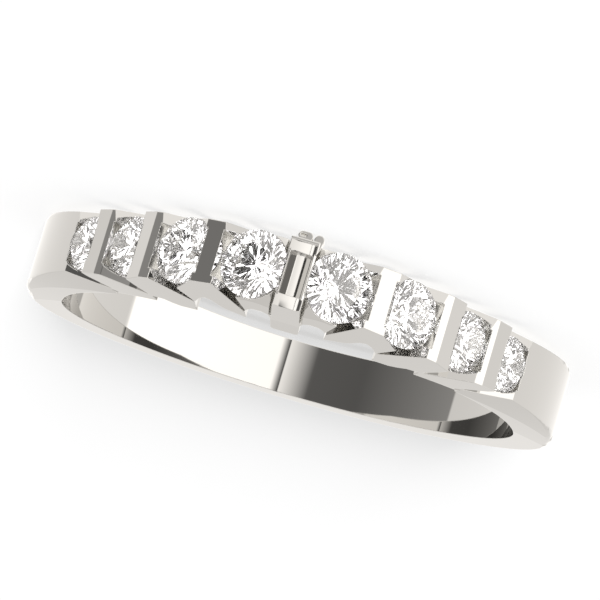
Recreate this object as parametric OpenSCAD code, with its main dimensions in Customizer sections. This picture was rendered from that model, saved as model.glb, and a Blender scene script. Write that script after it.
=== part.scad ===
// Bar set band: a ring with eight round stones between upright bars.
// The finger axis is z, the middle of the head points to -y, and the
// origin is the middle of the finger hole. Both halves are mirror images.

/* [Finger hole and shank] */

// inside diameter of the ring
finger_d = 16.5; // [15.5:0.1:18]
// wall of the plain shank, from the finger hole outwards
shank_t = 1.35; // [1.15:0.05:1.7]
// width of the shank at the shoulders
shoulder_w = 2.76; // [2.5:0.02:2.9]
// width of the shank at the back, opposite the head
back_w = 2.04; // [1.8:0.02:2.4]
// rounding of the outer edges of the shank
edge_round = 0.24; // [0.1:0.02:0.3]

/* [Head] */

// length of the bars along the finger axis at the top of the head
bar_len = 2.2; // [2.1:0.02:2.4]
// width of the head where it meets the finger
foot_w = 3; // [2.8:0.02:3.2]
// height of the middle bar over the finger hole
mid_rise = 3.14; // [3.05:0.01:3.25]
// width of the middle bar
mid_w = 0.96; // [0.9:0.01:1]
// wall left on each side of the channel in the middle bar
mid_wall = 0.05; // [0.04:0.01:0.08]
// depth of the channel in the middle bar
mid_channel = 0.31; // [0.29:0.01:0.35]
// how far the blocks at the ends of the channel stand below the middle bar
mid_step = 0.03; // [0.02:0.01:0.06]
// length of these blocks along the finger axis
mid_block = 0.36; // [0.3:0.01:0.45]
// slits between the middle bar and its neighbours
slit_w = 0.1; // [0.06:0.01:0.14]
// depth of the arches cut into the side faces of the head
arch_depth = 0.5; // [0.3:0.05:0.6]
// opening of the slots at their bottom
slot_w = 0.1; // [0.06:0.01:0.16]
// depth of the straight notches in the edges of the bars beside the stones
notch = 0.1; // [0.06:0.01:0.12]
// length of these notches along the finger axis
notch_len = 1.58; // [1.4:0.02:1.64]

/* [Inner bars] */

// angle of the outer edge of the inner bars
bar3_outer = 17.1; // [16.8:0.1:17.4]
// height of the outer edge of the inner bars over the finger hole
bar3_outer_rise = 3.05; // [2.95:0.01:3.1]
// angle of the inner edge of the inner bars
bar3_inner = 13.1; // [12.9:0.1:13.3]
// height of the inner edge of the inner bars over the finger hole
bar3_inner_rise = 3.27; // [3.2:0.01:3.35]

/* [Middle pair of bars] */

// angle of the outer edge of these bars
bar2_outer = 34.5; // [34.2:0.1:34.8]
// height of the outer edge over the finger hole
bar2_outer_rise = 1.66; // [1.6:0.01:1.75]
// angle of the ridge on these bars
bar2_ridge = 29.9; // [29.6:0.1:30.2]
// height of the ridge over the finger hole
bar2_ridge_rise = 2.13; // [2.05:0.01:2.2]
// angle of the inner edge of these bars
bar2_inner = 27.5; // [27.3:0.1:27.7]
// height of the inner edge over the finger hole
bar2_inner_rise = 2.23; // [2.15:0.01:2.3]

/* [Outer bars] */

// angle of the outer edge of the outer bars
bar1_outer = 48.2; // [48:0.1:48.5]
// height of the outer edge over the finger hole
bar1_outer_rise = 1.49; // [1.42:0.01:1.55]
// angle of the ridge on the outer bars
bar1_ridge = 44.1; // [43.9:0.1:44.4]
// height of the ridge over the finger hole
bar1_ridge_rise = 1.55; // [1.5:0.01:1.6]
// angle of the inner edge of the outer bars
bar1_inner = 42.1; // [41.8:0.1:42.3]
// height of the inner edge over the finger hole
bar1_inner_rise = 1.54; // [1.48:0.01:1.6]
// angle of the edge of the shoulders
shoulder_edge = 55.9; // [55.6:0.1:56.3]

/* [Stones] */

// diameter of the two middle stones
stone4_d = 2.34; // [2.2:0.01:2.38]
// diameter of the next pair
stone3_d = 2.3; // [2.1:0.01:2.32]
// diameter of the third pair
stone2_d = 2.08; // [1.95:0.01:2.1]
// diameter of the outer pair
stone1_d = 1.92; // [1.75:0.01:1.94]
// gap between a stone and its seat
seat_gap = 0.03; // [0.02:0.005:0.04]
// table width as a share of the stone's diameter
table_share = 0.56; // [0.52:0.01:0.6]
// crown height as a share of the stone's diameter
crown_share = 0.155; // [0.13:0.005:0.165]
// pavilion depth as a share of the stone's diameter
pavilion_share = 0.43; // [0.4:0.005:0.44]
// girdle thickness as a share of the stone's diameter
girdle_share = 0.03; // [0.02:0.005:0.04]

/* [Hidden] */

hole_r = finger_d / 2;
ring_r = hole_r + shank_t;
// angle, height over the finger hole and lean of the middle of each stone
stone_deg = [52.3, 38.1, 21.6, 7.75];
stone_rise = [1.12, 1.19, 2.22, 2.62];
stone_lean = [54, 47, 37, 22];
// the stones sit a hair to one side of the middle of the bars
stone_z = [-0.02, -0.06, -0.02, -0.05];
stone_d = [stone1_d, stone2_d, stone3_d, stone4_d];
// angle and height of the bottom of each slot
tip = [[46, 0.34], [33.3, 0.52], [20.3, 0.88], [8.1, 1.08]];
// angle and height of the knee that each stone leans on
knee = [[48.1, 1.2], [34.2, 1.2], [21.9, 1.9], [9.3, 2.5]];
// metal over the inner end of each stone
cover = [0.09, 0.07, 0.33, 0.11];
// the side faces of the head lean inwards to the top, on a cone
cone_inner_r = 5.16;
cone_y = cone_inner_r - hole_r;
cone_r = cone_inner_r + 3.15;
cone_lean = (foot_w - bar_len) / 2 / (cone_r - cone_inner_r);
// beside the outer slots the shoulders are as narrow as the head
shoulder_lean = 0.23;
shoulder_turn = 0.045;
gold = [0.84, 0.83, 0.81];
gem = [0.93, 0.95, 0.97];

// a point at an angle from the middle of the head and a height over the hole
function at(deg, rise) = [(hole_r + rise) * sin(deg),
                          -(hole_r + rise) * cos(deg)];
function flip(list) = [for (i = [len(list) - 1:-1:0]) [-list[i][0], list[i][1]]];
function both(list) = concat(list, flip(list));

// both sides of the slot's bottom
function tip_out(k) = at(tip[k][0], tip[k][1])
    + slot_w / 2 * [cos(stone_lean[k] + 35), sin(stone_lean[k] + 35)];
function tip_in(k) = at(tip[k][0], tip[k][1])
    - slot_w / 2 * [cos(stone_lean[k] + 35), sin(stone_lean[k] + 35)];
function knee_at(k) = at(knee[k][0], knee[k][1]);

// edges of the bars on both sides of each stone, each with a second point
// on the same bar that says which way its top runs
mid_edge = [mid_w / 2, -(hole_r + mid_rise)];
above = [
    [at(bar1_outer, bar1_outer_rise), at(bar1_ridge, bar1_ridge_rise)],
    [at(bar2_outer, bar2_outer_rise), at(bar2_ridge, bar2_ridge_rise)],
    [at(bar3_outer, bar3_outer_rise), at(bar3_inner, bar3_inner_rise)],
    [mid_edge, [0, mid_edge[1]]]
];
below = [
    [at(shoulder_edge, shank_t), at(shoulder_edge + 6, shank_t)],
    [at(bar1_inner, bar1_inner_rise), at(bar1_ridge, bar1_ridge_rise)],
    [at(bar2_inner, bar2_inner_rise), at(bar2_ridge, bar2_ridge_rise)],
    [at(bar3_inner, bar3_inner_rise), at(bar3_outer, bar3_outer_rise)]
];
function step_in(edge, d) = edge[0] + d * (edge[1] - edge[0]) / norm(edge[1] - edge[0]);
// a point of stone k, out along its girdle and up along its axis
function stone_at(k, out, up) = at(stone_deg[k], stone_rise[k])
    + out * [cos(stone_lean[k]), sin(stone_lean[k])]
    + up * [sin(stone_lean[k]), -cos(stone_lean[k])];
// side view of the room over stone k, d deeper into the bars than their edges
function room(k, d) = [
    step_in(above[k], d) + 0.8 * [sin(stone_deg[k]), -cos(stone_deg[k])],
    step_in(above[k], d),
    above[k][0] + [0, cover[k]],
    stone_at(k, -0.45 * stone_d[k], -0.02 * stone_d[k]),
    stone_at(k, stone_d[k] / 2 + seat_gap + 0.02, -0.02 * stone_d[k]),
    step_in(below[k], d),
    step_in(below[k], d) + 0.8 * [sin(stone_deg[k]), -cos(stone_deg[k])]
];

// outline of one half of the head, from the shoulder to the middle
head_half = [
    at(58, -0.3),
    at(58, 0.1),
    at(47.4, 0.28),
    tip_in(0),
    knee_at(0),
    at(bar1_outer, bar1_outer_rise),
    at(bar1_ridge, bar1_ridge_rise),
    at(bar1_inner, bar1_inner_rise),
    tip_out(1),
    tip_in(1),
    knee_at(1),
    at(bar2_outer, bar2_outer_rise),
    at(bar2_ridge, bar2_ridge_rise),
    at(bar2_inner, bar2_inner_rise),
    tip_out(2),
    tip_in(2),
    knee_at(2),
    at(bar3_outer, bar3_outer_rise),
    at(bar3_inner, bar3_inner_rise),
    tip_out(3),
    tip_in(3),
    knee_at(3),
    mid_edge + [0.03, 0.32]
];

// the wedge that the shoulders leave open for the head
shoulder_half = [
    [0, -hole_r + 4],
    at(46, -0.5),
    tip_out(0),
    at(shoulder_edge, shank_t + 0.03),
    at(shoulder_edge - 1.5, shank_t + 1),
    at(30, shank_t + 4)
];

// arches on the side faces, under the middle stones and the inner bars
arch_middle = [
    [0, -hole_r + 0.5], [0, -hole_r - 0.2], [0.4, -hole_r - 0.2],
    [mid_w / 2, -hole_r - 0.3], at(3.1, 1.3), at(3.5, 1.57), at(4.9, 1.76),
    at(6.6, 1.72), at(7.8, 1.5), at(8.6, 1.16), at(9, -0.5)
];
arch_inner = [
    at(8.2, -0.5), at(8.2, 0.56), at(10.2, 0.72), at(13.1, 0.94), at(14.3, 1.2),
    at(15.3, 1.5), at(16.5, 1.6), at(18, 1.4), at(20.2, 0.86), at(21.5, 0.2),
    at(22, -0.5)
];
arch_outer = [
    at(25, -0.5), at(26, 0), at(28, 0.14), at(29.6, 0.34), at(32.6, 0.42),
    at(33.6, -0.5)
];

// the plain ring, a little wider at the finger and rounded at the outer edges
module ring() {
    side = shoulder_w / 2;
    lean = atan(0.06);
    mid_r = ring_r - edge_round;
    mid_z = side - 0.06 * (mid_r - hole_r) - edge_round / cos(lean);
    top = [mid_r, mid_z] + (edge_round - 0.001) * [sin(lean), cos(lean)];
    rotate_extrude($fn = 180) {
        polygon([
            [hole_r - 0.4, -side], [hole_r, -side], [top[0], -top[1]],
            [mid_r, -mid_z], [ring_r, -mid_z], [ring_r, mid_z],
            [mid_r, mid_z], top, [hole_r, side], [hole_r - 0.4, side]
        ]);
        for (s = [-1, 1])
            translate([mid_r, s * mid_z])
                circle(r = edge_round, $fn = 32);
    }
}

// the ring narrows from the middle to the back
module taper() {
    slope = (shoulder_w - back_w) / 2 / (hole_r + 0.75);
    front = -ring_r - 4;
    back = ring_r + 1;
    rotate([90, 0, 90])
        linear_extrude(height = 3 * ring_r, center = true)
            polygon([
                [front, -shoulder_w / 2 - 0.02],
                [-0.75, -shoulder_w / 2],
                [back, -shoulder_w / 2 + slope * (back + 0.75)],
                [back, shoulder_w / 2 - slope * (back + 0.75)],
                [-0.75, shoulder_w / 2],
                [front, shoulder_w / 2 + 0.02]
            ]);
}

// a wide cone that draws one side face of the shoulders in beside the slots
module shoulder_side() {
    half_w = bar_len / 2 - 0.034 - shoulder_turn * ring_r * -cos(shoulder_edge);
    low = -4;
    high = shoulder_w / 2 + 0.3;
    rotate([atan(shoulder_turn), 0, 0])
        translate([0, 0, low])
            cylinder(h = high - low,
                     r1 = ring_r + (half_w - low) / shoulder_lean,
                     r2 = ring_r + (half_w - high) / shoulder_lean,
                     $fn = 180);
}

module shank() {
    difference() {
        intersection() {
            ring();
            taper();
            shoulder_side();
            mirror([0, 0, 1])
                shoulder_side();
        }
        linear_extrude(height = 4 * shoulder_w, center = true)
            polygon(both(shoulder_half));
    }
}

// everything between two cones that lean in to the top of the head
module side_lean() {
    for (s = [0, 1])
        mirror([0, 0, s])
            translate([0, cone_y, -0.01])
                cylinder(h = 0.01 + foot_w / 2 + 0.2,
                         r1 = cone_r + (bar_len / 2 + 0.01) / cone_lean,
                         r2 = cone_r - (foot_w / 2 + 0.2 - bar_len / 2) / cone_lean,
                         $fn = 180);
}

module arches() {
    for (s = [-1, 1])
        translate([0, 0, s * (foot_w / 2 - arch_depth / 2 + 0.1)])
            linear_extrude(height = arch_depth + 0.2, center = true)
                for (m = [0, 1])
                    mirror([m, 0, 0]) {
                        polygon(arch_middle);
                        polygon(arch_inner);
                        polygon(arch_outer);
                    }
}

// moves a stone shape that looks along +z to its place on the right half
module seat_place(k) {
    translate(concat(at(stone_deg[k], stone_rise[k]), [stone_z[k]]))
        rotate([0, 0, stone_lean[k]])
            rotate([90, 0, 0])
                children();
}

// the metal under the middle stones is drawn in to their round outline
module collar() {
    r = stone4_d / 2;
    seat_place(3)
        difference() {
            translate([-1.1 * r, -2 * r, -0.62])
                cube([1.25 * r, 4 * r, 1.2]);
            translate([0, 0, -0.8])
                cylinder(h = 2, r1 = 0.97 * r + 0.56, r2 = 0.97 * r - 0.84, $fn = 128);
        }
}

// the middle bar, leaning out at both ends like the head
module mid_bar() {
    top = mid_edge[1];
    end = bar_len / 2 + 0.07;
    difference() {
        rotate([0, 90, 0])
            rotate([0, 0, 90])
                linear_extrude(height = mid_w, center = true)
                    polygon([
                        [top, -end - 0.04], [top, end], [-hole_r - 0.2, end + 0.27],
                        [-hole_r + 0.5, end + 0.27], [-hole_r + 0.5, -end - 0.27],
                        [-hole_r - 0.2, -end - 0.27]
                    ]);
        for (s = [-1, 1])
            translate([s * mid_w / 2, -hole_r - 0.2, 0])
                rotate([0, 0, 45])
                    cube([0.2, 0.2, 2 * foot_w], center = true);
    }
}

// small rounded loop behind one end of the middle bar
module rim() {
    end = bar_len / 2 + 0.11;
    translate([0.04, mid_edge[1] + 0.02, -end])
        rotate([-90, 0, 0])
            difference() {
                union() {
                    for (s = [-1, 1])
                        translate([0.09 * s, 0.1, 0])
                            cylinder(h = 0.6, r = 0.16, $fn = 48);
                    translate([0, 0.1, 0.3])
                        cube([0.18, 0.32, 0.6], center = true);
                }
                translate([0.08, 0.13, 0])
                    cube([0.2, 0.1, 0.5], center = true);
            }
}

// rounded corner beside the loop, a little wider than the middle bar
module corner() {
    end = bar_len / 2 + 0.11;
    translate([-mid_w / 2 + 0.05, mid_edge[1] + 0.02, 0])
        rotate([-90, 0, 0]) {
            translate([0, end + 0.08, 0])
                cylinder(h = 0.6, r = 0.17, $fn = 48);
            linear_extrude(height = 0.6)
                polygon([
                    [-0.03, end - 0.45], [-0.12, end - 0.2], [-0.155, end + 0.08],
                    [0.155, end + 0.08], [0.155, end - 0.1]
                ]);
        }
}

// the channel along the middle bar, with a lower block at both ends; its floor
// and the blocks are slightly crowned and lie deeper towards -x
module channel() {
    top = -(hole_r + mid_rise);
    inner = mid_w / 2 - mid_wall;
    left = inner - 0.94 * mid_channel;
    right = -inner + 0.93 * mid_channel;
    crown_r = 5;
    block_r = 11;
    tilt = 3.2;
    linear_extrude(height = bar_len - 2 * mid_block, center = true)
        difference() {
            polygon([
                [-inner, top - 1], [inner, top - 1], [inner, top],
                [left - 0.1, top + 1.064 * (mid_channel + 0.1)],
                [right + 0.093, top + mid_channel + 0.1], [-inner, top]
            ]);
            translate([left + crown_r * sin(tilt), top + mid_channel + crown_r * cos(tilt)])
                circle(r = crown_r, $fn = 180);
        }
    translate([0, 0, -bar_len / 2 - 0.02])
        linear_extrude(height = bar_len + 0.5)
            difference() {
                polygon([
                    [-inner, top - 1], [mid_w, top - 1], [mid_w, top + 0.3],
                    [-inner + 0.18, top + 0.3], [-inner + 0.18, top + 0.08],
                    [-inner + 0.1, top + 0.127], [-inner, top]
                ]);
                translate([inner + block_r * sin(tilt), top + mid_step + block_r * cos(tilt)])
                    circle(r = block_r, $fn = 360);
            }
}

// open slits between the ends of the middle bar and its neighbours
module slits() {
    for (s = [0, 1])
        mirror([0, 0, s])
            translate([mid_w / 2, mid_edge[1] - 0.2, 0.62])
                cube([slit_w, 1.8, foot_w]);
}

// cut that turns the far end of the wall beside stone k towards the stone
module wall_end(k) {
    edge = below[k][0];
    foot = tip_out(k);
    way = foot - edge;
    translate(concat(edge, [-bar_len / 2 + 0.4]))
        rotate([0, 0, atan2(way[1], way[0])])
            rotate([90, 0, 90])
                translate([0, 0, -0.3])
                    linear_extrude(height = norm(way) + 0.22)
                        polygon([[0.03, 0.105], [-0.2, -0.7], [0.03, -0.7]]);
}

// room for stone k: its own shape with a gap, and the way in from above
module seat(k) {
    d = stone_d[k];
    r = d / 2 + seat_gap;
    g = girdle_share * d / 2 + seat_gap;
    table_r = table_share * d / 2 + seat_gap;
    seat_place(k) {
        translate([0, 0, -g])
            cylinder(h = 2 * g, r = r, $fn = 64);
        translate([0, 0, -g - pavilion_share * d])
            cylinder(h = pavilion_share * d, r1 = 0.08, r2 = r, $fn = 64);
        translate([0, 0, g])
            cylinder(h = crown_share * d, r1 = r, r2 = table_r, $fn = 64);
        translate([0, 0, g])
            cylinder(h = crown_share * d + seat_gap, r = table_r, $fn = 64);
    }
    intersection() {
        seat_place(k)
            translate([0, 0, -0.02 * d])
                cylinder(h = 1.8, r = r, $fn = 64);
        linear_extrude(height = 4, center = true)
            polygon(room(k, 0));
    }
    linear_extrude(height = notch_len * (0.4 + 0.6 * d / stone4_d), center = true)
        polygon(room(k, notch));
}

module band() {
    color(gold)
        difference() {
            union() {
                shank();
                difference() {
                    intersection() {
                        linear_extrude(height = 2 * foot_w, center = true)
                            polygon(both(head_half));
                        side_lean();
                    }
                    for (m = [0, 1])
                        mirror([m, 0, 0]) {
                            collar();
                            slits();
                        }
                }
                mid_bar();
                rim();
                corner();
            }
            cylinder(h = 4 * shoulder_w, r = hole_r, center = true, $fn = 180);
            arches();
            channel();
            for (m = [0, 1])
                mirror([m, 0, 0])
                    for (k = [0:3]) {
                        seat(k);
                        wall_end(k);
                    }
        }
}

// round brilliant of diameter d with its girdle at z = 0 and its table up
module brilliant(d) {
    r = d / 2;
    g = girdle_share * d / 2;
    crown = crown_share * d;
    depth = pavilion_share * d;
    table_r = table_share * r;
    star_r = (table_r + r) / 2 * 1.03;
    star_z = g + crown * 0.52;
    low_r = 0.24 * r;
    low_z = -g - depth * (1 - 0.215);
    points = concat(
        [for (i = [0:7]) [table_r * cos(45 * i), table_r * sin(45 * i), g + crown]],
        [for (i = [0:7]) [star_r * cos(45 * i + 22.5), star_r * sin(45 * i + 22.5), star_z]],
        [for (i = [0:31]) [r * cos(11.25 * i), r * sin(11.25 * i), g]],
        [for (i = [0:31]) [r * cos(11.25 * i), r * sin(11.25 * i), -g]],
        [for (i = [0:7]) [low_r * cos(45 * i + 22.5), low_r * sin(45 * i + 22.5), low_z]],
        [[0, 0, -g - depth]]
    );
    faces = concat(
        [[7, 6, 5, 4, 3, 2, 1, 0]],
        [for (i = [0:7]) [i, (i + 1) % 8, 8 + i]],
        [for (i = [0:7]) [i, 8 + i, 16 + 4 * i]],
        [for (i = [0:7]) [i, 16 + 4 * i, 8 + (i + 7) % 8]],
        [for (i = [0:7]) for (j = [0:3])
            [8 + i, 16 + (4 * i + j + 1) % 32, 16 + 4 * i + j]],
        [for (i = [0:31]) [16 + i, 16 + (i + 1) % 32, 48 + (i + 1) % 32]],
        [for (i = [0:31]) [16 + i, 48 + (i + 1) % 32, 48 + i]],
        [for (i = [0:7]) for (j = [0:3])
            [48 + 4 * i + j, 48 + (4 * i + j + 1) % 32, 80 + i]],
        [for (i = [0:7]) [48 + 4 * i, 80 + i, 88]],
        [for (i = [0:7]) [48 + 4 * i, 88, 80 + (i + 7) % 8]]
    );
    polyhedron(points = points, faces = faces);
}

// stone k counts from the shoulder inwards, side 0 is +x and side 1 is -x
module stone(k, side) {
    color(gem)
        mirror([side, 0, 0])
            seat_place(k)
                brilliant(stone_d[k]);
}

module stone_1() { stone(0, 0); }
module stone_2() { stone(1, 0); }
module stone_3() { stone(2, 0); }
module stone_4() { stone(3, 0); }
module stone_5() { stone(3, 1); }
module stone_6() { stone(2, 1); }
module stone_7() { stone(1, 1); }
module stone_8() { stone(0, 1); }

band();
stone_1();
stone_2();
stone_3();
stone_4();
stone_5();
stone_6();
stone_7();
stone_8();
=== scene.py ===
import bpy
import math
import numpy as np
from mathutils import Matrix, Vector


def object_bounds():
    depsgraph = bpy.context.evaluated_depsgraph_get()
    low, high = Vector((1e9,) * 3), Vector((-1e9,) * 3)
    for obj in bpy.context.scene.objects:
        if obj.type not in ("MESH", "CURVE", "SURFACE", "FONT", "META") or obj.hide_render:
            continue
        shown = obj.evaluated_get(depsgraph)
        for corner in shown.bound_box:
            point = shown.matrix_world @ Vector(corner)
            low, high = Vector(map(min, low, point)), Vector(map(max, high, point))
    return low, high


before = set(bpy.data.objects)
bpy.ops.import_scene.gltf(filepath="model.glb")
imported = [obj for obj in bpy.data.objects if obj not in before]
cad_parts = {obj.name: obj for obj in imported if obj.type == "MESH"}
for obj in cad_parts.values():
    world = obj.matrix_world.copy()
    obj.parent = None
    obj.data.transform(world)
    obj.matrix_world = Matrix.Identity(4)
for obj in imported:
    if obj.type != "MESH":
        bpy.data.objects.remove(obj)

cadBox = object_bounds()
scene = bpy.context.scene
mm = 0.001

# places of a mix node's inputs, and of its mixed colour among the outputs
mixShare, firstNumber, secondNumber, firstColour, secondColour = 0, 2, 3, 6, 7
mixedColour = 2


# one sRGB channel of 0 to 1 to linear light
def toLinear(channel):
    return channel / 12.92 if channel <= 0.04045 else ((channel + 0.055) / 1.055) ** 2.4


# sRGB hex to linear red, green, blue and alpha
def fromHex(code):
    return [toLinear(int(code[i:i + 2], 16) / 255) for i in (1, 3, 5)] + [1.0]


# a grey, of 0 to 255 or brighter than white, to linear light
def fromGrey(value):
    return toLinear(value / 255)


# unit vector at a turn from -y towards +x and a height, both in radians
def direction(turn, height):
    return Vector((math.sin(turn) * math.cos(height),
                   -math.cos(turn) * math.cos(height), math.sin(height)))


# adds one node, sets its properties, its input values and its links
def addNode(tree, kind, settings=None, inputs=None):
    node = tree.nodes.new(kind)
    for name, value in (settings or {}).items():
        setattr(node, name, value)
    for name, value in (inputs or {}).items():
        if isinstance(value, bpy.types.NodeSocket):
            tree.links.new(value, node.inputs[name])
        else:
            node.inputs[name].default_value = value
    return node


# gives a ramp its rows of place and brightness, after spreading its stops out
def fillRamp(ramp, rows):
    stops = ramp.color_ramp.elements
    while len(stops) < len(rows):
        stops.new(0.5)
    for i in range(len(rows)):
        stops[i].position = i / len(rows)
    for i, (place, level) in enumerate(rows):
        stops[i].position = place
        stops[i].color = (level, level, level, 1)


def newMaterial(name):
    material = bpy.data.materials.new(name)
    material.use_nodes = True
    material.node_tree.nodes.clear()
    return material, material.node_tree


# camera: the photograph's own angle, worked out from the outline of the ring
cameraView = {
    "distance": 170 * mm,
    "height": 9.167,  # degrees over the plane that the ring lies in
    "turn": -3.079,  # degrees to the side of the middle bar
    "roll": 16.5707,  # degrees from upside down
    "scale": 28.4687,  # pixels for one millimetre at the ring's middle
    "frame": 600,
    "middle": (297.96, 332.34),  # where the ring's middle falls in the picture
    "clip": (0.01, 20),
}


def makeCamera(view):
    height, turn, roll = (math.radians(view[k]) for k in ("height", "turn", "roll"))
    back = direction(turn, height)
    right = (-back).cross(Vector((0, 0, 1))).normalized()
    up = right.cross(-back)
    pictureRight = -math.cos(roll) * right - math.sin(roll) * up
    pictureUp = math.sin(roll) * right - math.cos(roll) * up
    turned = Matrix((pictureRight, pictureUp, back)).transposed().to_4x4()
    data = bpy.data.cameras.new("camera")
    focal = view["scale"] * view["distance"] / mm
    data.lens = focal / view["frame"] * data.sensor_width
    data.shift_x = (view["frame"] / 2 - view["middle"][0]) / view["frame"]
    data.shift_y = (view["middle"][1] - view["frame"] / 2) / view["frame"]
    data.clip_start, data.clip_end = view["clip"]
    camera = bpy.data.objects.new("camera", data)
    camera.matrix_world = Matrix.Translation(back * view["distance"]) @ turned
    scene.collection.objects.link(camera)
    scene.camera = camera


makeCamera(cameraView)
scene.view_settings.view_transform = "Standard"
# light goes many times to and fro in the stones and in the narrow slots
lightPaths = {"max_bounces": 40, "glossy_bounces": 32, "transmission_bounces": 32}
for name, value in lightPaths.items():
    setattr(scene.cycles, name, value)
print("camera set")

# rhodium plated white gold, polished on a felt wheel: a mirror with fine
# hairlines from wear and a thin bloom where fingers touch it. The wheel
# doesn't reach into the slots and seats, so the metal stays matt there. There it
# is also painted a lighter grey, by how little open sky it sees: painted light in the slots
# and seats
whiteGold = {
    "colour": "#C0BFBD",
    "roughness": (0.012, 0.03),  # clean, and under the thickest bloom
    "hairline": 0.05,  # spacing of the hairlines in mm, real ones are nearer 0.005
    "hairlineRun": 0.12,  # their width as a share of their length, along the ring's axis
    "hairlineDetail": 3.0,
    "hairlineDepth": 0.001,  # in mm
    "hairlineStrength": 0.02,
    "bloom": 1.6,  # size of the bloom's patches in mm
    "bloomRange": (0.4, 0.75),  # noise at which the bloom starts and is full
    "bloomDetail": 4.0,
    "edge": 0.04,  # radius in mm to which the polishing wheel has worn the edges
    # painted light: the lighter grey given to the metal in the slots and seats, in place of
    # the light bouncing there
    "paintedSlotLightColour": "#EFEEEB",
    "mattRoughness": 0.4,
    "mattAndPaintedLightReach": 0.5,  # width in mm of the gaps that the wheel doesn't reach and that get the painted light
    "mattAndPaintedLightShare": (0.2, 0.42),  # share of open sky where the metal is fully matt with painted light, and fully polished
    "rays": 8,  # rays that look for edges and for open sky
}


def makeWhiteGold(look):
    material, tree = newMaterial("polishedWhiteGold")
    coords = addNode(tree, "ShaderNodeTexCoord").outputs["Object"]
    streaks = addNode(tree, "ShaderNodeMapping", {}, {
        "Vector": coords, "Scale": (1 / mm, 1 / mm, look["hairlineRun"] / mm)})
    hairlines = addNode(tree, "ShaderNodeTexNoise", {}, {
        "Vector": streaks.outputs[0], "Scale": 1 / look["hairline"],
        "Detail": look["hairlineDetail"]})
    patches = addNode(tree, "ShaderNodeTexNoise", {}, {
        "Vector": coords, "Scale": 1 / (look["bloom"] * mm), "Detail": look["bloomDetail"]})
    clean, smeared = look["roughness"]
    start, full = look["bloomRange"]
    bloom = addNode(tree, "ShaderNodeMapRange", {}, {
        "Value": patches.outputs[0], "From Min": start, "From Max": full,
        "To Min": clean, "To Max": smeared})
    worn = addNode(tree, "ShaderNodeBevel", {"samples": look["rays"]},
                   {"Radius": look["edge"] * mm})
    bump = addNode(tree, "ShaderNodeBump", {}, {
        "Height": hairlines.outputs[0], "Strength": look["hairlineStrength"],
        "Distance": look["hairlineDepth"] * mm, "Normal": worn.outputs[0]})
    sky = addNode(tree, "ShaderNodeAmbientOcclusion", {"samples": look["rays"]},
                  {"Distance": look["mattAndPaintedLightReach"] * mm})
    deep, clear = look["mattAndPaintedLightShare"]
    mattAndPaintedLight = addNode(tree, "ShaderNodeMapRange", {}, {
        "Value": sky.outputs["AO"], "From Min": deep, "From Max": clear,
        "To Min": 1.0, "To Max": 0.0})
    roughness = addNode(tree, "ShaderNodeMix", {"data_type": "FLOAT"}, {
        mixShare: mattAndPaintedLight.outputs[0], firstNumber: bloom.outputs[0],
        secondNumber: look["mattRoughness"]})
    # painted light: where little open sky is seen, the metal's colour turns to the lighter
    # painted grey
    colour = addNode(tree, "ShaderNodeMix", {"data_type": "RGBA"}, {
        mixShare: mattAndPaintedLight.outputs[0], firstColour: fromHex(look["colour"]),
        secondColour: fromHex(look["paintedSlotLightColour"])})
    surface = addNode(tree, "ShaderNodeBsdfPrincipled", {}, {
        "Base Color": colour.outputs[mixedColour], "Metallic": 1.0,
        "Roughness": roughness.outputs[0], "Normal": bump.outputs[0]})
    addNode(tree, "ShaderNodeOutputMaterial", {}, {"Surface": surface.outputs[0]})
    return material


# cut and polished diamond: clear, with a very high index that throws the
# light back out through the table
diamond = {
    "colour": "#FFFFFF",
    "index": 2.417,
    "roughness": 0.0,
}


def makeDiamond(look):
    material, tree = newMaterial("cutDiamond")
    surface = addNode(tree, "ShaderNodeBsdfPrincipled", {}, {
        "Base Color": fromHex(look["colour"]), "Roughness": look["roughness"],
        "IOR": look["index"], "Transmission Weight": 1.0})
    addNode(tree, "ShaderNodeOutputMaterial", {}, {"Surface": surface.outputs[0]})
    return material


goldMaterial = makeWhiteGold(whiteGold)
diamondMaterial = makeDiamond(diamond)
for name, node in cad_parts.items():
    node.data.materials.clear()
    node.data.materials.append(goldMaterial if name == "band" else diamondMaterial)
print("metal and stones finished")

# floor: pale seamless board under the ring, lit from below as well
floorBoard = {
    "size": 3.0,
    "level": cadBox[0][2],
    "colour": "#959595",
    "glow": 0.48,
}


def makeFloor(board):
    half = board["size"] / 2
    corners = [(-half, -half), (half, -half), (half, half), (-half, half)]
    mesh = bpy.data.meshes.new("floorBoard")
    mesh.from_pydata([(x, y, board["level"]) for x, y in corners], [], [(0, 1, 2, 3)])
    floor = bpy.data.objects.new("floorBoard", mesh)
    scene.collection.objects.link(floor)
    material, tree = newMaterial("paleBoard")
    surface = addNode(tree, "ShaderNodeBsdfPrincipled", {}, {
        "Base Color": fromHex(board["colour"]), "Roughness": 1.0,
        "Specular IOR Level": 0.0, "Emission Color": (1, 1, 1, 1),
        "Emission Strength": board["glow"]})
    addNode(tree, "ShaderNodeOutputMaterial", {}, {"Surface": surface.outputs[0]})
    mesh.materials.append(material)
    # the metal and the stones see the tents, not the board
    floor.visible_glossy = False
    floor.visible_transmission = False


makeFloor(floorBoard)
print("floor laid")

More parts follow.
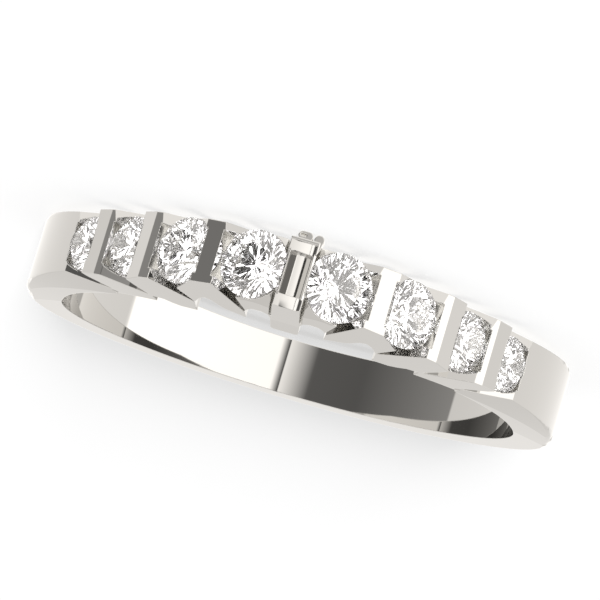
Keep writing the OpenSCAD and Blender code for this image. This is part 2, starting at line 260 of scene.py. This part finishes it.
# tent of white cloth with a soft box and dark flags, seen in reflections
# alone. Each of its panels goes from one turn to another, in degrees from
# straight in front of the ring towards +x, and from one grey to another, and
# fades into the next one
lightTent = {
    "radius": 1.0,
    "mirror": 0.53,  # share of light that the metal throws back
    "tint": "#FFFCF8",
    "panels": [
        (-180, -96, 215, 208),  # pale cloth behind, towards -x
        (-94, -9, 275, 260),  # soft box in front, towards -x
        (10, 34, 84, 80),  # dark flag in front, towards +x
        (36, 90, 80, 130),  # second flag, which leans back into the light
        (91, 180, 200, 215),  # pale cloth behind, towards +x
    ],
    "brightest": 275,
    "level": -9.0,  # height of the panels' middle in degrees
    "panelHeight": (6, 14),  # full and faded out, in degrees over and under it
    "upper": 226,  # grey of the cloth over the panels and under them
    "overhead": 196,  # its grey right over the ring
    "overheadFade": (30, 65),  # heights in degrees where that grey starts and is full
    "rear": 192,  # its grey behind the ring
    "rearFade": (0.2, 0.7),  # metres behind the ring where that grey starts and is full
    # thin dark pole in front: turns in degrees where it starts, is darkest and ends
    "pole": (-9, -5, -4.5),
    "poleLight": 0.06,  # share of the cloth's light where it is darkest
    "foot": -9.35,  # height of the pole's foot in degrees
    "footFade": 0.2,  # height in degrees over which the foot fades in
}

# second tent, of soft boxes and dark flags in turn, seen through the stones
# alone, with a dark round place where the camera looks through the cloth
stoneTent = {
    "radius": 1.1,
    "patch": 2.8,  # patches in one radius
    "greys": [(0.0, 0.01), (0.46, 0.3), (0.52, 2.7)],  # share of patches before it, light
    "fire": 0.06,  # share of colour in the patches
    "lensTurn": -3.1,
    "lensHeight": 9.2,
    "lensRadius": (24, 28),  # degrees to which it is dark and where it ends
    "lensLight": 0.05,
}
domePanels = (96, 48)  # round a tent, and from its lowest to its highest point


# sphere over its turn and rise, in radians: sin turn cos rise, -cos turn cos
# rise and sin rise, times the radius
def domeMesh(name, radius):
    turns = np.radians(np.linspace(-180, 180, domePanels[0] + 1))
    rises = np.radians(np.linspace(-90, 90, domePanels[1] + 1))
    turn, rise = np.meshgrid(turns, rises, indexing="ij")
    points = radius * np.stack([np.sin(turn) * np.cos(rise),
                                -np.cos(turn) * np.cos(rise), np.sin(rise)], -1)
    row = np.arange(len(rises) - 1)
    column = np.arange(len(turns) - 1)[:, None]
    first = (column * len(rises) + row).ravel()
    faces = np.stack([first, first + 1, first + len(rises) + 1, first + len(rises)], 1)
    mesh = bpy.data.meshes.new(name)
    mesh.from_pydata(points.reshape(-1, 3).tolist(), [], faces.tolist())
    mesh.update()
    dome = bpy.data.objects.new(name, mesh)
    scene.collection.objects.link(dome)
    dome.visible_camera = False
    dome.visible_diffuse = False
    dome.visible_shadow = False
    return dome


def makeLightTent(tent):
    dome = domeMesh("lightTent", tent["radius"])
    material, tree = newMaterial("glowingCloth")
    place = addNode(tree, "ShaderNodeTexCoord").outputs["Object"]
    split = addNode(tree, "ShaderNodeSeparateXYZ", {}, {"Vector": place})
    top = fromGrey(tent["brightest"])
    # the panels' greys, by the turn round the ring
    ahead = addNode(tree, "ShaderNodeMath", {"operation": "MULTIPLY"},
                    {0: split.outputs["Y"], 1: -1.0})
    angle = addNode(tree, "ShaderNodeMath", {"operation": "ARCTAN2"},
                    {0: split.outputs["X"], 1: ahead.outputs[0]})
    share = addNode(tree, "ShaderNodeMapRange", {}, {
        "Value": angle.outputs[0], "From Min": -math.pi, "From Max": math.pi})
    panels = addNode(tree, "ShaderNodeValToRGB", {}, {"Fac": share.outputs[0]})
    fillRamp(panels, [((turn + 180) / 360, fromGrey(grey) / top)
                      for start, end, *greys in tent["panels"]
                      for turn, grey in zip((start, end), greys)])
    # over and under the panels the cloth is plain
    length = addNode(tree, "ShaderNodeVectorMath", {"operation": "LENGTH"}, {0: place})
    sine = addNode(tree, "ShaderNodeMath", {"operation": "DIVIDE"},
                   {0: split.outputs["Z"], 1: length.outputs["Value"]})
    height = addNode(tree, "ShaderNodeMath", {"operation": "ARCSINE"}, {0: sine.outputs[0]})
    away = addNode(tree, "ShaderNodeMath", {"operation": "SUBTRACT"},
                   {0: height.outputs[0], 1: math.radians(tent["level"])})
    distance = addNode(tree, "ShaderNodeMath", {"operation": "ABSOLUTE"}, {0: away.outputs[0]})
    near, far = (math.radians(a) for a in tent["panelHeight"])
    fade = addNode(tree, "ShaderNodeMapRange", {"interpolation_type": "SMOOTHSTEP"}, {
        "Value": distance.outputs[0], "From Min": near, "From Max": far})
    near, far = tent["rearFade"]
    rear = addNode(tree, "ShaderNodeMapRange", {"interpolation_type": "SMOOTHSTEP"}, {
        "Value": split.outputs["Y"], "From Min": near, "From Max": far,
        "To Min": fromGrey(tent["upper"]) / top, "To Max": fromGrey(tent["rear"]) / top})
    low, high = (math.radians(a) for a in tent["overheadFade"])
    overhead = addNode(tree, "ShaderNodeMapRange", {"interpolation_type": "SMOOTHSTEP"}, {
        "Value": height.outputs[0], "From Min": low, "From Max": high,
        "To Min": 1.0, "To Max": fromGrey(tent["overhead"]) / fromGrey(tent["upper"])})
    plain = addNode(tree, "ShaderNodeMath", {"operation": "MULTIPLY"},
                    {0: rear.outputs[0], 1: overhead.outputs[0]})
    cloth = addNode(tree, "ShaderNodeMix", {"data_type": "FLOAT"}, {
        mixShare: fade.outputs[0], firstNumber: panels.outputs[0],
        secondNumber: plain.outputs[0]})
    # the pole stands on its foot and hides the cloth behind it
    start, darkest, end = (math.radians(a) for a in tent["pole"])
    across = addNode(tree, "ShaderNodeMapRange", {}, {
        "Value": angle.outputs[0], "From Min": start, "From Max": end})
    shade = addNode(tree, "ShaderNodeValToRGB", {}, {"Fac": across.outputs[0]})
    fillRamp(shade, [(0.0, 1.0), ((darkest - start) / (end - start), tent["poleLight"]),
                     (1.0, 1.0)])
    standing = addNode(tree, "ShaderNodeMapRange", {}, {
        "Value": height.outputs[0], "From Min": math.radians(tent["foot"]),
        "From Max": math.radians(tent["foot"] + tent["footFade"])})
    pole = addNode(tree, "ShaderNodeMix", {"data_type": "FLOAT"}, {
        mixShare: standing.outputs[0], firstNumber: 1.0, secondNumber: shade.outputs[0]})
    shown = addNode(tree, "ShaderNodeMath", {"operation": "MULTIPLY"},
                    {0: cloth.outputs[0], 1: pole.outputs[0]})
    light = addNode(tree, "ShaderNodeMath", {"operation": "MULTIPLY"},
                    {0: shown.outputs[0], 1: top / tent["mirror"]})
    glow = addNode(tree, "ShaderNodeEmission", {}, {
        "Color": fromHex(tent["tint"]), "Strength": light.outputs[0]})
    addNode(tree, "ShaderNodeOutputMaterial", {}, {"Surface": glow.outputs[0]})
    dome.data.materials.append(material)
    dome.visible_transmission = False


def makeStoneTent(tent):
    dome = domeMesh("stoneTent", tent["radius"])
    material, tree = newMaterial("softBoxesAndFlags")
    place = addNode(tree, "ShaderNodeTexCoord").outputs["Object"]
    cells = addNode(tree, "ShaderNodeTexVoronoi", {}, {
        "Vector": place, "Scale": tent["patch"] / tent["radius"]})
    channels = addNode(tree, "ShaderNodeSeparateColor", {}, {"Color": cells.outputs["Color"]})
    brightest = tent["greys"][-1][1]
    greys = addNode(tree, "ShaderNodeValToRGB", {}, {"Fac": channels.outputs[0]})
    greys.color_ramp.interpolation = "CONSTANT"
    fillRamp(greys, [(start, light / brightest) for start, light in tent["greys"]])
    hue = addNode(tree, "ShaderNodeMix", {"data_type": "RGBA"}, {
        mixShare: tent["fire"], firstColour: (1, 1, 1, 1),
        secondColour: cells.outputs["Color"]})
    tinted = addNode(tree, "ShaderNodeMix", {"data_type": "RGBA", "blend_type": "MULTIPLY"}, {
        mixShare: 1.0, firstColour: greys.outputs[0],
        secondColour: hue.outputs[mixedColour]})
    toLens = direction(math.radians(tent["lensTurn"]), math.radians(tent["lensHeight"]))
    unit = addNode(tree, "ShaderNodeVectorMath", {"operation": "NORMALIZE"}, {0: place})
    facing = addNode(tree, "ShaderNodeVectorMath", {"operation": "DOT_PRODUCT"},
                     {0: unit.outputs[0], 1: toLens})
    near, far = (math.radians(a) for a in tent["lensRadius"])
    hole = addNode(tree, "ShaderNodeMapRange", {}, {
        "Value": facing.outputs["Value"], "From Min": math.cos(far),
        "From Max": math.cos(near), "To Min": brightest, "To Max": tent["lensLight"]})
    glow = addNode(tree, "ShaderNodeEmission", {}, {
        "Color": tinted.outputs[mixedColour], "Strength": hole.outputs[0]})
    addNode(tree, "ShaderNodeOutputMaterial", {}, {"Surface": glow.outputs[0]})
    dome.data.materials.append(material)
    dome.visible_glossy = False


makeLightTent(lightTent)
makeStoneTent(stoneTent)
print("tents hung")

# soft fill from all round, and one low wide lamp from the front, which throws
# the soft shadow behind the ring. Angles are in degrees
studioLight = {
    "fill": 1.0,
    "lamp": 35.0,
    "turn": -5.0,
    "height": 4.2,
    "softness": 8.0,  # how wide the lamp looks from the ring
}


def makeLights(light):
    world = bpy.data.worlds.new("studio")
    scene.world = world
    world.use_nodes = True
    world.node_tree.nodes.clear()
    sky = addNode(world.node_tree, "ShaderNodeBackground", {}, {
        "Color": (1, 1, 1, 1), "Strength": light["fill"]})
    addNode(world.node_tree, "ShaderNodeOutputWorld", {}, {"Surface": sky.outputs[0]})
    data = bpy.data.lights.new("lowLamp", "SUN")
    data.energy = light["lamp"]
    data.angle = math.radians(light["softness"])
    lamp = bpy.data.objects.new("lowLamp", data)
    toLamp = direction(math.radians(light["turn"]), math.radians(light["height"]))
    lamp.rotation_euler = (-toLamp).to_track_quat("-Z", "Y").to_euler()
    lamp.visible_glossy = False
    lamp.visible_transmission = False
    scene.collection.objects.link(lamp)


makeLights(studioLight)
print("lights on")
